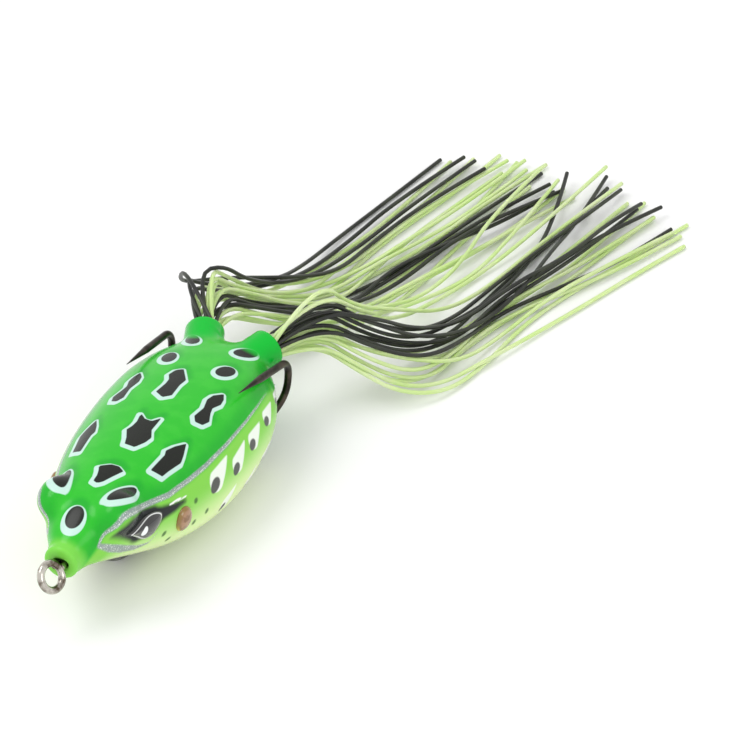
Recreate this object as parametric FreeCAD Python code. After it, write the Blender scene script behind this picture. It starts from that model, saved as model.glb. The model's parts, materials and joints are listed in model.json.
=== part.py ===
"""Hollow-body topwater frog lure with a double frog hook and two strand legs.

Frame: millimetres, +Z up. The nose points along -Y and the frog's left is +X. The origin is
on the surface that the lure rests on, below the middle of the body.
"""

import FreeCAD
import Part

import math
import os

V = FreeCAD.Vector
UP = V(0, 0, 1)

OVERRUN = 1.0  # how far a cutter stands clear of what it cuts
BEND_SHARE = 0.45  # share of the shorter run that a bend takes

# ---- shell ---------------------------------------------------------------------------------
WALL = 1.2
SHELL_EXPONENT = 2.15
SECTION_POINTS = 20
# stations along the body: y, half width, top z, bottom z, z of the widest line
SHELL_STATIONS = (
    (-27.5, 2.7, 15.3, 9.8, 12.5),
    (-25.0, 4.4, 17.0, 9.2, 12.4),
    (-21.5, 6.4, 18.6, 7.9, 12.2),
    (-17.0, 8.4, 19.4, 5.8, 11.6),
    (-11.0, 10.6, 19.9, 3.2, 10.4),
    (-4.0, 12.4, 20.0, 1.1, 9.6),
    (4.0, 13.5, 19.9, 0.1, 9.2),
    (11.0, 13.7, 19.5, 0.8, 9.4),
    (18.0, 12.9, 18.8, 2.6, 10.0),
    (23.0, 11.1, 17.9, 4.4, 10.6),
    (27.0, 8.3, 16.7, 6.8, 11.4),
    (29.4, 5.0, 15.2, 9.2, 12.2),
)
BROW_CENTRE = V(4.9, -19.9, 16.5)
BROW_RADIUS = 3.1
BROW_STRETCH = 1.25

COLLAR_RADIUS = 2.75
COLLAR_Z = 12.2
COLLAR_FRONT_Y = -29.5
COLLAR_REAR_Y = -25.5
NOSE_BORE_RADIUS = 1.55
NOSE_BORE_REAR_Y = -23.5

SLOT_FRONT_Y = -23.2
SLOT_HALF_WIDTH = 2.1
SLOT_TOP_Z = 10.0
SLOT_FLARE_Y = 9.5
SLOT_REAR_Y = 24.0
SLOT_REAR_HALF_WIDTH = 8.6

SOCKET_MOUTH = V(5.6, 32.1, 14.2)
SOCKET_SPLAY_DEG = 20.0
SOCKET_RISE_DEG = 6.0
SOCKET_RADIUS = 3.15
SOCKET_BORE_RADIUS = 2.35
SOCKET_LENGTH = 10.0
SOCKET_BORE_LENGTH = 10.5

# ---- eyes and ear discs --------------------------------------------------------------------
EYE_Y = -18.2
EYE_Z = 13.7
EYE_HALF_LENGTH = 4.4
EYE_HALF_HEIGHT = 1.9
EYE_HALF_DEPTH = 1.1
EYE_RISE = 0.14
EAR_Y = -9.9
EAR_Z = 11.0
EAR_RADIUS = 1.75
EAR_HALF_DEPTH = 0.9
TANGENT_STEP = 1.5  # half the stretch of skin that gives a dome its lie

# ---- hook ----------------------------------------------------------------------------------
WIRE = 1.2
EYE_RING_RADIUS = 2.05
EYE_RING_CENTRE = V(0, -32.3, 11.7)
EYE_RING_NORMAL = V(0.85, -0.22, 0.48)
SHANK_GAP = 0.56
POINT_TIP = V(9.6, 12.6, 18.9)
POINT_LENGTH = 7.5
POINT_TIP_RADIUS = 0.05
# left wire from the top of the bend, round under the tail and forward to the eye
HOOK_ROUTE = (
    V(10.2, 29.6, 14.6),
    V(10.1, 28.9, 8.6),
    V(8.4, 25.0, 5.2),
    V(5.2, 20.0, 2.2),
    V(2.7, 16.0, 1.25),
    V(SHANK_GAP, 11.0, 1.25),
    V(SHANK_GAP, -8.6, 1.7),
    V(SHANK_GAP, -14.0, 3.7),
    V(SHANK_GAP, -19.2, 7.4),
    V(SHANK_GAP, -24.5, 11.95),
    V(SHANK_GAP, -30.3, 12.2),
)

# ---- keel weight: y, half width, bottom z, top z -------------------------------------------
WEIGHT_STATIONS = (
    (-18.4, 1.30, 5.7, 7.8),
    (-15.0, 1.50, 2.9, 5.8),
    (-11.5, 1.60, 0.6, 4.2),
    (-8.0, 1.65, -0.4, 3.4),
    (0.0, 1.65, -0.4, 3.3),
    (6.0, 1.55, -0.3, 3.0),
    (9.0, 1.25, 0.4, 2.4),
)

# ---- legs ----------------------------------------------------------------------------------
STRAND = 0.7
STRANDS_PER_TRESS = 4
MOUTH_GAP = 0.6
COLUMN_PITCH = 0.8
ROW_PITCH = 0.78
END_PITCH = 1.05
LOOM_RADIUS = 2.2
LOOM_DEPTH = 10.0
BLACK = "black"
CHARTREUSE = "chartreuse"
# each leg has five tresses, from the bottom row of its mouth to the top row
LEFT_TRESSES = (
    (CHARTREUSE, (V(9.8, 39.3, 12.2), V(15, 43.6, 7.8), V(21, 46.8, 3.2), V(27, 51, 0.9),
                  V(31.6, 59.6, 0.5), V(35.4, 70.5, 0.5), V(39.6, 82.5, 0.5),
                  V(44, 95, 0.5), V(47.6, 107, 0.5))),
    (CHARTREUSE, (V(9.6, 39.8, 13.2), V(14.4, 45.8, 9.4), V(19.8, 51.6, 4.2),
                  V(24.8, 58.4, 1), V(28.8, 68.5, 0.5), V(33, 80, 0.5), V(37.6, 93, 0.5),
                  V(42, 108.5, 0.5))),
    (BLACK, (V(9.3, 40.1, 14.1), V(13.4, 47.4, 10.8), V(18.2, 55, 5.4), V(22.4, 63.6, 1.4),
             V(25.8, 74.5, 0.5), V(29.4, 86.5, 0.5), V(33, 99, 0.5), V(36.6, 113, 0.5))),
    (BLACK, (V(9, 40.4, 15), V(12.2, 48.6, 12.2), V(15.8, 57.6, 7), V(19, 67.6, 2.2),
             V(22, 79, 0.5), V(25.4, 92, 0.5), V(28.2, 104, 0.5), V(30, 116.5, 0.5))),
    (CHARTREUSE, (V(8.6, 40.6, 15.9), V(10.8, 49.5, 13.8), V(13.2, 59.5, 8.6),
                  V(15.2, 70.5, 3.4), V(19, 82, 0.5), V(22, 96, 0.5), V(25, 116, 0.5))),
)
RIGHT_TRESSES = (
    (CHARTREUSE, (V(-7.2, 40, 12), V(-3.2, 47.4, 7.9), V(1.4, 55.2, 3.2),
                  V(6, 64.4, 0.7), V(10.2, 75.4, 0.5), V(13.4, 87.4, 0.5),
                  V(16.6, 100, 0.5), V(19.4, 112.5, 0.5))),
    (BLACK, (V(-8.2, 40.4, 13.1), V(-5, 48, 9.8), V(-0.8, 56.6, 4.7), V(3, 66, 0.9),
             V(6.6, 77, 0.5), V(9.6, 89, 0.5), V(12.6, 101.5, 0.5), V(15.4, 114.5, 0.5))),
    (CHARTREUSE, (V(-9.2, 40.4, 14), V(-7, 48, 11.2), V(-3.6, 57, 6.2), V(-0.2, 67, 1.8),
                  V(2.6, 78, 0.5), V(5.4, 90, 0.5), V(8.4, 102.5, 0.5), V(11.2, 116, 0.5))),
    (CHARTREUSE, (V(-10.4, 39.8, 14.9), V(-10, 47, 12.8), V(-7.2, 56, 8.2),
                  V(-4.4, 66, 3.6), V(-1.8, 77, 0.9), V(0.8, 89, 0.5), V(3.4, 102, 0.5),
                  V(6, 116, 0.5))),
    (BLACK, (V(-12.2, 38.6, 15.9), V(-13.2, 44, 15.2), V(-10.8, 51.5, 12.2),
             V(-8, 61, 7.4), V(-6.8, 72, 2.4), V(-5.2, 84, 0.5), V(-3, 98, 0.5),
             V(0.6, 114.5, 0.5))),
)


def signed_power(value, exponent):
    return math.copysign(abs(value) ** exponent, value)


def section_wire(y, half_width, top, bottom, widest, inset=0.0):
    """Closed curve round the body at y, drawn in from the outside by inset."""
    points = []
    for i in range(SECTION_POINTS):
        angle = 2 * math.pi * i / SECTION_POINTS
        across = signed_power(math.cos(angle), 2 / SHELL_EXPONENT)
        height = signed_power(math.sin(angle), 2 / SHELL_EXPONENT)
        reach = top - widest if height > 0 else widest - bottom
        points.append(V((half_width - inset) * across, y, widest + (reach - inset) * height))
    curve = Part.BSplineCurve()
    curve.interpolate(Points=points, PeriodicFlag=True)
    return Part.Wire([curve.toShape()])


def shell_loft(stations, inset=0.0):
    wires = [section_wire(*station, inset=inset) for station in stations]
    return Part.makeLoft(wires, True, False)


def outer_body():
    """The body's outside as a full solid, with its brow bumps."""
    solid = shell_loft(SHELL_STATIONS)
    for side in (1, -1):
        solid = solid.fuse(brow_bump(side))
    return solid


def socket_direction(side):
    splay = math.radians(SOCKET_SPLAY_DEG)
    rise = math.radians(SOCKET_RISE_DEG)
    flat = math.cos(rise)
    return V(side * math.sin(splay) * flat, math.cos(splay) * flat, math.sin(rise))


def mirrored(point, side):
    return V(side * point.x, point.y, point.z)


def socket_cylinder(side, radius, length, overrun=0.0):
    """Cylinder that ends at the socket's mouth, or overrun beyond it."""
    direction = socket_direction(side)
    start = mirrored(SOCKET_MOUTH, side) - direction * length
    return Part.makeCylinder(radius, length + overrun, start, direction)


def brow_bump(side):
    ball = Part.makeSphere(BROW_RADIUS)
    stretch = FreeCAD.Matrix()
    stretch.scale(1.0, BROW_STRETCH, 1.0)
    ball = ball.transformGeometry(stretch)
    ball.translate(mirrored(BROW_CENTRE, side))
    return ball


def belly_slot():
    """Straight slot for the shank that flares where the two wires part."""
    outline = [
        V(-SLOT_HALF_WIDTH, SLOT_FRONT_Y, -OVERRUN),
        V(SLOT_HALF_WIDTH, SLOT_FRONT_Y, -OVERRUN),
        V(SLOT_HALF_WIDTH, SLOT_FLARE_Y, -OVERRUN),
        V(SLOT_REAR_HALF_WIDTH, SLOT_REAR_Y, -OVERRUN),
        V(-SLOT_REAR_HALF_WIDTH, SLOT_REAR_Y, -OVERRUN),
        V(-SLOT_HALF_WIDTH, SLOT_FLARE_Y, -OVERRUN),
    ]
    face = Part.Face(Part.makePolygon(outline + outline[:1]))
    return face.extrude(V(0, 0, SLOT_TOP_Z + OVERRUN))


def body_shell():
    solid = outer_body()
    for side in (1, -1):
        solid = solid.fuse(socket_cylinder(side, SOCKET_RADIUS, SOCKET_LENGTH))
    collar_length = COLLAR_REAR_Y - COLLAR_FRONT_Y
    collar = Part.makeCylinder(
        COLLAR_RADIUS, collar_length, V(0, COLLAR_FRONT_Y, COLLAR_Z), V(0, 1, 0)
    )
    solid = solid.fuse(collar)
    solid = solid.cut(shell_loft(SHELL_STATIONS[1:-1], inset=WALL))
    for side in (1, -1):
        bore = socket_cylinder(side, SOCKET_BORE_RADIUS, SOCKET_BORE_LENGTH, OVERRUN)
        solid = solid.cut(bore)
    bore_start = V(0, COLLAR_FRONT_Y - OVERRUN, COLLAR_Z)
    bore_length = NOSE_BORE_REAR_Y - COLLAR_FRONT_Y + OVERRUN
    solid = solid.cut(Part.makeCylinder(NOSE_BORE_RADIUS, bore_length, bore_start, V(0, 1, 0)))
    return solid.cut(belly_slot())


def station_values(y):
    """Half width, top, bottom and widest height at y, between the two stations round it."""
    for low, high in zip(SHELL_STATIONS, SHELL_STATIONS[1:]):
        if low[0] <= y <= high[0]:
            share = (y - low[0]) / (high[0] - low[0])
            return [a + (b - a) * share for a, b in zip(low[1:], high[1:])]
    raise ValueError("y is off the body")


def flank_point(y, z, side):
    """Point on the outside of the body at this y and height."""
    half_width, top, bottom, widest = station_values(y)
    reach = top - widest if z > widest else widest - bottom
    height = abs(z - widest) / reach
    across = (1 - height**SHELL_EXPONENT) ** (1 / SHELL_EXPONENT)
    return V(side * half_width * across, y, z)


def dome(y, z, side, half_length, half_height, half_depth, rise):
    """Part of an ellipsoid that stands out of the flank at this place."""
    step = TANGENT_STEP
    climb = rise * step
    centre = flank_point(y, z, side)
    along = flank_point(y + step, z + climb, side) - flank_point(y - step, z - climb, side)
    upward = flank_point(y, z + step, side) - flank_point(y, z - step, side)
    along.normalize()
    normal = along.cross(upward) * side
    normal.normalize()
    upward = normal.cross(along)
    stretch = FreeCAD.Matrix()
    stretch.scale(half_length, half_height, half_depth)
    ball = Part.makeSphere(1.0).transformGeometry(stretch)
    ball = ball.transformGeometry(FreeCAD.Matrix(along, upward, normal, centre))
    return max(ball.cut(outer_body()).Solids, key=lambda part: part.Volume)


def rounded_path(points):
    """Straight runs joined by tangent arcs, each as large as its two runs allow."""
    edges = []
    radii = []
    here = points[0]
    for before, corner, after in zip(points, points[1:], points[2:]):
        inward = corner - before
        outward = after - corner
        shorter = min(inward.Length, outward.Length)
        inward.normalize()
        outward.normalize()
        turn = math.acos(max(-1.0, min(1.0, inward.dot(outward))))
        trim = BEND_SHARE * shorter
        radius = trim / math.tan(turn / 2)
        start = corner - inward * trim
        end = corner + outward * trim
        bisector = outward - inward
        bisector.normalize()
        middle = corner + bisector * (radius / math.cos(turn / 2) - radius)
        edges.append(Part.LineSegment(here, start).toShape())
        edges.append(Part.Arc(start, middle, end).toShape())
        radii.append(radius)
        here = end
    edges.append(Part.LineSegment(here, points[-1]).toShape())
    return Part.Wire(edges), radii


def round_tube(points, diameter, name):
    """Round bar along a rounded path; prints its smallest bend and checks its volume."""
    path, radii = rounded_path(points)
    direction = points[1] - points[0]
    ring = Part.Wire([Part.Circle(points[0], direction, diameter / 2).toShape()])
    tube = path.makePipeShell([ring], True, False)
    expected = math.pi * (diameter / 2) ** 2 * path.Length
    print(
        f"{name}: length {path.Length:.1f} mm, smallest radius {min(radii):.1f} mm, "
        f"volume over section x length {tube.Volume / expected:.4f}"
    )
    return tube


def hook_wire(side):
    """One wire of the hook, from its point round the bend to the eye."""
    tip = mirrored(POINT_TIP, side)
    route = [mirrored(point, side) for point in HOOK_ROUTE]
    direction = route[0] - tip
    direction.normalize()
    base = tip + direction * POINT_LENGTH
    bar = round_tube([base] + route, WIRE, "hook wire")
    point = Part.makeCone(POINT_TIP_RADIUS, WIRE / 2, POINT_LENGTH, tip, direction)
    return bar.fuse(point)


def double_hook():
    ring = Part.makeTorus(EYE_RING_RADIUS, WIRE / 2, EYE_RING_CENTRE, EYE_RING_NORMAL)
    hook = ring.fuse([hook_wire(1), hook_wire(-1)])
    return hook.removeSplitter()


def keel_weight(hook):
    """Lead pod cast round the shank, flat underneath."""
    wires = []
    for y, half_width, bottom, top in WEIGHT_STATIONS:
        half_height = (top - bottom) / 2
        centre = V(0, y, (top + bottom) / 2)
        if half_width > half_height:
            ellipse = Part.Ellipse(
                centre + V(half_width, 0, 0), centre + V(0, 0, half_height), centre
            )
        else:
            ellipse = Part.Ellipse(
                centre + V(0, 0, half_height), centre + V(half_width, 0, 0), centre
            )
        wires.append(Part.Wire([ellipse.toShape()]))
    pod = Part.makeLoft(wires, True, False)
    room = pod.BoundBox
    below = Part.makeBox(
        room.XLength, room.YLength, -room.ZMin, V(room.XMin, room.YMin, room.ZMin)
    )
    return max(pod.cut([below, hook]).Solids, key=lambda part: part.Volume)


def strand_loom():
    """The strands' hidden middle, which runs from one socket to the other."""
    corners = []
    for side in (-1, 1):
        mouth = mirrored(SOCKET_MOUTH, side)
        corners.append((mouth, mouth - socket_direction(side) * LOOM_DEPTH))
    route = [corners[0][0], corners[0][1], corners[1][1], corners[1][0]]
    return round_tube(route, 2 * LOOM_RADIUS, "strand_loom")


def strand_route(side, row, column, guide):
    """Route of one strand: its slot in the mouth, then its place in the tress."""
    direction = socket_direction(side)
    across = direction.cross(UP)
    across.normalize()
    lift = across.cross(direction)
    slot = column - (STRANDS_PER_TRESS - 1) / 2
    level = row - (len(LEFT_TRESSES) - 1) / 2
    start = mirrored(SOCKET_MOUTH, side) + direction * MOUTH_GAP
    start = start + across * (slot * COLUMN_PITCH) + lift * (level * ROW_PITCH)
    route = [start]
    stations = [start] + list(guide)
    for index in range(1, len(stations)):
        ahead = stations[min(index + 1, len(stations) - 1)]
        heading = ahead - stations[index - 1]
        sideways = heading.cross(UP)
        sideways.normalize()
        share = index / (len(stations) - 1)
        pitch = COLUMN_PITCH + (END_PITCH - COLUMN_PITCH) * share
        route.append(stations[index] + sideways * (slot * pitch))
    return route


def leg_strands(side_name, side, tresses):
    """The strands of one leg, each a separate solid, numbered by colour."""
    counts = {BLACK: 0, CHARTREUSE: 0}
    strands = {}
    for row, (colour, guide) in enumerate(tresses):
        for column in range(STRANDS_PER_TRESS):
            counts[colour] += 1
            name = f"{side_name}_{colour}_strand_{counts[colour]}"
            strands[name] = round_tube(strand_route(side, row, column, guide), STRAND, name)
    return strands


def all_parts():
    hook = double_hook()
    parts = {
        "body_shell": body_shell(),
        "double_hook": hook,
        "keel_weight": keel_weight(hook),
        "strand_loom": strand_loom(),
    }
    for side_name, side in (("left", 1), ("right", -1)):
        parts[f"{side_name}_eye"] = dome(
            EYE_Y, EYE_Z, side, EYE_HALF_LENGTH, EYE_HALF_HEIGHT, EYE_HALF_DEPTH, EYE_RISE
        )
        parts[f"{side_name}_ear_disc"] = dome(
            EAR_Y, EAR_Z, side, EAR_RADIUS, EAR_RADIUS, EAR_HALF_DEPTH, 0.0
        )
    parts.update(leg_strands("left", 1, LEFT_TRESSES))
    parts.update(leg_strands("right", -1, RIGHT_TRESSES))
    return parts


def main():
    os.makedirs("parts", exist_ok=True)
    for name, shape in all_parts().items():
        shape.exportStep(f"parts/{name}.step")


main()
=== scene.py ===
"""Looks of a hollow-body topwater frog: painted shell, hook, eyes, keel weight and strand legs."""

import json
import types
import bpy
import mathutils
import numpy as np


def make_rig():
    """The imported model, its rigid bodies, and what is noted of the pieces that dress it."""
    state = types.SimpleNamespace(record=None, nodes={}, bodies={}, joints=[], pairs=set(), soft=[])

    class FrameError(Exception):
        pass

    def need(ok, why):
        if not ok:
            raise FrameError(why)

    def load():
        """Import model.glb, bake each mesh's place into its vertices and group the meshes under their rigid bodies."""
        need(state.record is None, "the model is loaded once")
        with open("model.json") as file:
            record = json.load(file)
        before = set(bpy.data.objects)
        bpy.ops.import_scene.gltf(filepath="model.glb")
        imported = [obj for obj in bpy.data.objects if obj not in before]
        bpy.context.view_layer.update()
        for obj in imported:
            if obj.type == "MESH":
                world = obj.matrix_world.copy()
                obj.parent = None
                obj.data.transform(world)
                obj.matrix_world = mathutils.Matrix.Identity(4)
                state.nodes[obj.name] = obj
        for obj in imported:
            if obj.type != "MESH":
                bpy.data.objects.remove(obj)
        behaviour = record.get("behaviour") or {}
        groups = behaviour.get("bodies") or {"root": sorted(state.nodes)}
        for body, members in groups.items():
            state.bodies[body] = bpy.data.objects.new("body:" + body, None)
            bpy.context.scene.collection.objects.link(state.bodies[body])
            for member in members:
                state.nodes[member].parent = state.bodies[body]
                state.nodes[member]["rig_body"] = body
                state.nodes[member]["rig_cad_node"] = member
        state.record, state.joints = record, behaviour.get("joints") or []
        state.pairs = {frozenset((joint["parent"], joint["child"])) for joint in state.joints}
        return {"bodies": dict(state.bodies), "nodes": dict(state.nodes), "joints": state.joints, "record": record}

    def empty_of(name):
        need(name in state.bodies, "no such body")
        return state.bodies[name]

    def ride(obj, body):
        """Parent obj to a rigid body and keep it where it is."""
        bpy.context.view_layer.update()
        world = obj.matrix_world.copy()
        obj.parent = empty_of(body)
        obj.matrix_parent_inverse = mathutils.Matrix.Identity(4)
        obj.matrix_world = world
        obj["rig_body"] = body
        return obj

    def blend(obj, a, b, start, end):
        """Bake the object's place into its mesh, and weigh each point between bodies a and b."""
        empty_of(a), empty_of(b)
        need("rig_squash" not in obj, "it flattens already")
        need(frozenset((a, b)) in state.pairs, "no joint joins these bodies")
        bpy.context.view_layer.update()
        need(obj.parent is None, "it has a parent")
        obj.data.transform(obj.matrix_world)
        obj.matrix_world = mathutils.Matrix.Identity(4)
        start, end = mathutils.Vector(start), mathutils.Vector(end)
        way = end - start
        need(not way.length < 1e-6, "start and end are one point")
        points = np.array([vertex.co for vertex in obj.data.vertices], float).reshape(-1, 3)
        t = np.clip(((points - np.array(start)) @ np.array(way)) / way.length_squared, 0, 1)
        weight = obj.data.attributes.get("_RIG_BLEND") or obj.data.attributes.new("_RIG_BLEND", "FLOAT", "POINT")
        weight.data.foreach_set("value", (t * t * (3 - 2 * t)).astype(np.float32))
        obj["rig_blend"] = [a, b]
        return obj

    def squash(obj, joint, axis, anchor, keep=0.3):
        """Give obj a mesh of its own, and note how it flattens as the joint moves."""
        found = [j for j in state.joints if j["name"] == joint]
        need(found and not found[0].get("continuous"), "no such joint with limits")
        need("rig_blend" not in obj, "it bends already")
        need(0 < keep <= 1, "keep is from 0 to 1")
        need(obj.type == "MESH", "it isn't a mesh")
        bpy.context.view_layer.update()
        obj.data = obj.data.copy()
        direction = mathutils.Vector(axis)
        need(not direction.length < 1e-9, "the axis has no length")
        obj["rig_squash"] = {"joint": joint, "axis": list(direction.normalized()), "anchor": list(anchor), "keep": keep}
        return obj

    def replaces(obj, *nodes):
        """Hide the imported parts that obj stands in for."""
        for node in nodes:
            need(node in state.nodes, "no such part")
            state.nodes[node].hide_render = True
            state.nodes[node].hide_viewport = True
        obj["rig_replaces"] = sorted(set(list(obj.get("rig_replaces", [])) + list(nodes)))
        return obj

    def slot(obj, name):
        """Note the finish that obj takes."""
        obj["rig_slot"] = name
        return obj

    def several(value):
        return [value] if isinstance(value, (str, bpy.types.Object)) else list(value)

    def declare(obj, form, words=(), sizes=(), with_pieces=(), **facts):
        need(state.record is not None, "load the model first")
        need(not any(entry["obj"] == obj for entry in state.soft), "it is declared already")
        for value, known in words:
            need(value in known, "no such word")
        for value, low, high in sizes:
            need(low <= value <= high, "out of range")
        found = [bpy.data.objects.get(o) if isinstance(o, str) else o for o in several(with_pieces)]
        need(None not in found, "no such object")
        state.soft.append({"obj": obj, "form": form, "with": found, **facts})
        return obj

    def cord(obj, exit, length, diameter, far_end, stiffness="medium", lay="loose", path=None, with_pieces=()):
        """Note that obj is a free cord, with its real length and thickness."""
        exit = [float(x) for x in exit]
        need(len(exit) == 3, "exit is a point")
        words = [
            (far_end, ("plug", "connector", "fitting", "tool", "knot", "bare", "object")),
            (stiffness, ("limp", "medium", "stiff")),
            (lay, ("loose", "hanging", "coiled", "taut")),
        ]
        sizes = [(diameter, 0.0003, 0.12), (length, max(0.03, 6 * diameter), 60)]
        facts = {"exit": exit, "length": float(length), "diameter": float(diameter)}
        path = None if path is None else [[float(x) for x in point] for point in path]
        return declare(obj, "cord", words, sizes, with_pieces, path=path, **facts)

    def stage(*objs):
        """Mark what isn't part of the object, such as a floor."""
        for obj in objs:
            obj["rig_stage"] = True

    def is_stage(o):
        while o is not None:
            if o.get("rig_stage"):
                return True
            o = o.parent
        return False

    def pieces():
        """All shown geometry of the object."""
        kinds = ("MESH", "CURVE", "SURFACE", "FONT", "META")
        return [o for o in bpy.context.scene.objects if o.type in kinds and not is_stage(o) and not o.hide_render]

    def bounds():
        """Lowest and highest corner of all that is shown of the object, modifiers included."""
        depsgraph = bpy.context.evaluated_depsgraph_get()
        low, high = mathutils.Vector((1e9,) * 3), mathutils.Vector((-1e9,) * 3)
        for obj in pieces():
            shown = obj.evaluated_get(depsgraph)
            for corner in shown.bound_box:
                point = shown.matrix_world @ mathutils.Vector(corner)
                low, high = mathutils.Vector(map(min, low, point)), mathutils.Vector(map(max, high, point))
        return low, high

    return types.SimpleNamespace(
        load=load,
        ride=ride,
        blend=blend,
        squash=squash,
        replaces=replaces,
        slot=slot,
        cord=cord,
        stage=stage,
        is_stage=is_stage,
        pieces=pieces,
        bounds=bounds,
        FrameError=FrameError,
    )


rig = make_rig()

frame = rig.load()

import json
import math

import bmesh
import bpy
import numpy as np
from mathutils import Vector
from mathutils.kdtree import KDTree

bl_info = {
    "name": "Hollow-body topwater frog",
    "version": (1, 0, 0),
    "blender": (4, 5, 0),
    "location": "View3D > Sidebar > Frog",
    "description": "Builds the painted shell, hook, eyes and strand legs of a topwater frog",
    "category": "Object",
}

CAD_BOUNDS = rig.bounds()
SIZE_FILE = "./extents.json"
MM = 0.001

# ---- shell outline, millimetres ------------------------------------------------------------
SHELL_EXPONENT = 2.15
# y, half width, top z, bottom z, z of the widest line
SHELL_STATIONS = np.array((
    (-27.5, 2.7, 15.3, 9.8, 12.5),
    (-25.0, 4.4, 17.0, 9.2, 12.4),
    (-21.5, 6.4, 18.6, 7.9, 12.2),
    (-17.0, 8.4, 19.4, 5.8, 11.6),
    (-11.0, 10.6, 19.9, 3.2, 10.4),
    (-4.0, 12.4, 20.0, 1.1, 9.6),
    (4.0, 13.5, 19.9, 0.1, 9.2),
    (11.0, 13.7, 19.5, 0.8, 9.4),
    (18.0, 12.9, 18.8, 2.6, 10.0),
    (23.0, 11.1, 17.9, 4.4, 10.6),
    (27.0, 8.3, 16.7, 6.8, 11.4),
    (29.4, 5.0, 15.2, 9.2, 12.2),
    (30.4, 2.6, 13.9, 10.8, 12.4),
    (30.7, 0.6, 12.8, 12.1, 12.45),
))
WALL = 1.2
BROW_CENTRE = (4.9, -19.9, 16.5)
BROW_RADII = (3.1, 3.9, 3.1)
COLLAR_Z = 12.2
COLLAR_FRONT_Y = -29.5
COLLAR_REAR_Y = -24.0
COLLAR_RADIUS = 2.75
NOSE_BORE_RADIUS = 1.35
NOSE_BORE_HALF_HEIGHT = 0.85
NOSE_BORE_REAR_Y = -22.5
SOCKET_MOUTH = np.array((5.6, 32.1, 14.2))
SOCKET_SPLAY = math.radians(20.0)
SOCKET_RISE = math.radians(6.0)
SOCKET_RADIUS = 3.15
SOCKET_BORE_RADIUS = 2.35
SOCKET_LENGTH = 10.0
SOCKET_BORE_LENGTH = 10.5
SLOT_FRONT_Y = -23.2
SLOT_FLARE_Y = 9.5
SLOT_REAR_Y = 24.0
SLOT_HALF_WIDTH = 2.1
SLOT_REAR_HALF_WIDTH = 8.6
SLOT_TOP_Z = 10.0
EDGE_ROUNDING = 0.35
COLLAR_ROUNDING = 0.45
SOCKET_ROUNDING = 0.4
# how wide the body flows into each part that stands out of it
BROW_BLEND = 1.6
COLLAR_BLEND = 1.0
SOCKET_BLEND = 1.3

# ---- legs: tress guides, millimetres, from the bottom row of a mouth to the top ------------
BLACK = "black"
CHARTREUSE = "chartreuse"
STRANDS_PER_TRESS = 4
COLUMN_PITCH = 0.8
ROW_PITCH = 0.78
END_PITCH = 1.05
LEFT_TRESSES = (
    (CHARTREUSE, ((9.8, 39.3, 12.2), (15, 43.6, 7.8), (21, 46.8, 3.2), (27, 51, 0.9),
                  (31.6, 59.6, 0.5), (35.4, 70.5, 0.5), (39.6, 82.5, 0.5),
                  (44, 95, 0.5), (47.6, 107, 0.5))),
    (CHARTREUSE, ((9.6, 39.8, 13.2), (14.4, 45.8, 9.4), (19.8, 51.6, 4.2),
                  (24.8, 58.4, 1), (28.8, 68.5, 0.5), (33, 80, 0.5), (37.6, 93, 0.5),
                  (42, 108.5, 0.5))),
    (BLACK, ((9.3, 40.1, 14.1), (13.4, 47.4, 10.8), (18.2, 55, 5.4), (22.4, 63.6, 1.4),
             (25.8, 74.5, 0.5), (29.4, 86.5, 0.5), (33, 99, 0.5), (36.6, 113, 0.5))),
    (BLACK, ((9, 40.4, 15), (12.2, 48.6, 12.2), (15.8, 57.6, 7), (19, 67.6, 2.2),
             (22, 79, 0.5), (25.4, 92, 0.5), (28.2, 104, 0.5), (30, 116.5, 0.5))),
    (CHARTREUSE, ((8.6, 40.6, 15.9), (10.8, 49.5, 13.8), (13.2, 59.5, 8.6),
                  (15.2, 70.5, 3.4), (19, 82, 0.5), (22, 96, 0.5), (25, 116, 0.5))),
)
RIGHT_TRESSES = (
    (CHARTREUSE, ((-7.2, 40, 12), (-3.2, 47.4, 7.9), (1.4, 55.2, 3.2),
                  (6, 64.4, 0.7), (10.2, 75.4, 0.5), (13.4, 87.4, 0.5),
                  (16.6, 100, 0.5), (19.4, 112.5, 0.5))),
    (BLACK, ((-8.2, 40.4, 13.1), (-5, 48, 9.8), (-0.8, 56.6, 4.7), (3, 66, 0.9),
             (6.6, 77, 0.5), (9.6, 89, 0.5), (12.6, 101.5, 0.5), (15.4, 114.5, 0.5))),
    (CHARTREUSE, ((-9.2, 40.4, 14), (-7, 48, 11.2), (-3.6, 57, 6.2), (-0.2, 67, 1.8),
                  (2.6, 78, 0.5), (5.4, 90, 0.5), (8.4, 102.5, 0.5), (11.2, 116, 0.5))),
    (CHARTREUSE, ((-10.4, 39.8, 14.9), (-10, 47, 12.8), (-7.2, 56, 8.2),
                  (-4.4, 66, 3.6), (-1.8, 77, 0.9), (0.8, 89, 0.5), (3.4, 102, 0.5),
                  (6, 116, 0.5))),
    (BLACK, ((-12.2, 38.6, 15.9), (-13.2, 44, 15.2), (-10.8, 51.5, 12.2),
             (-8, 61, 7.4), (-6.8, 72, 2.4), (-5.2, 84, 0.5), (-3, 98, 0.5),
             (0.6, 114.5, 0.5))),
)
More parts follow.
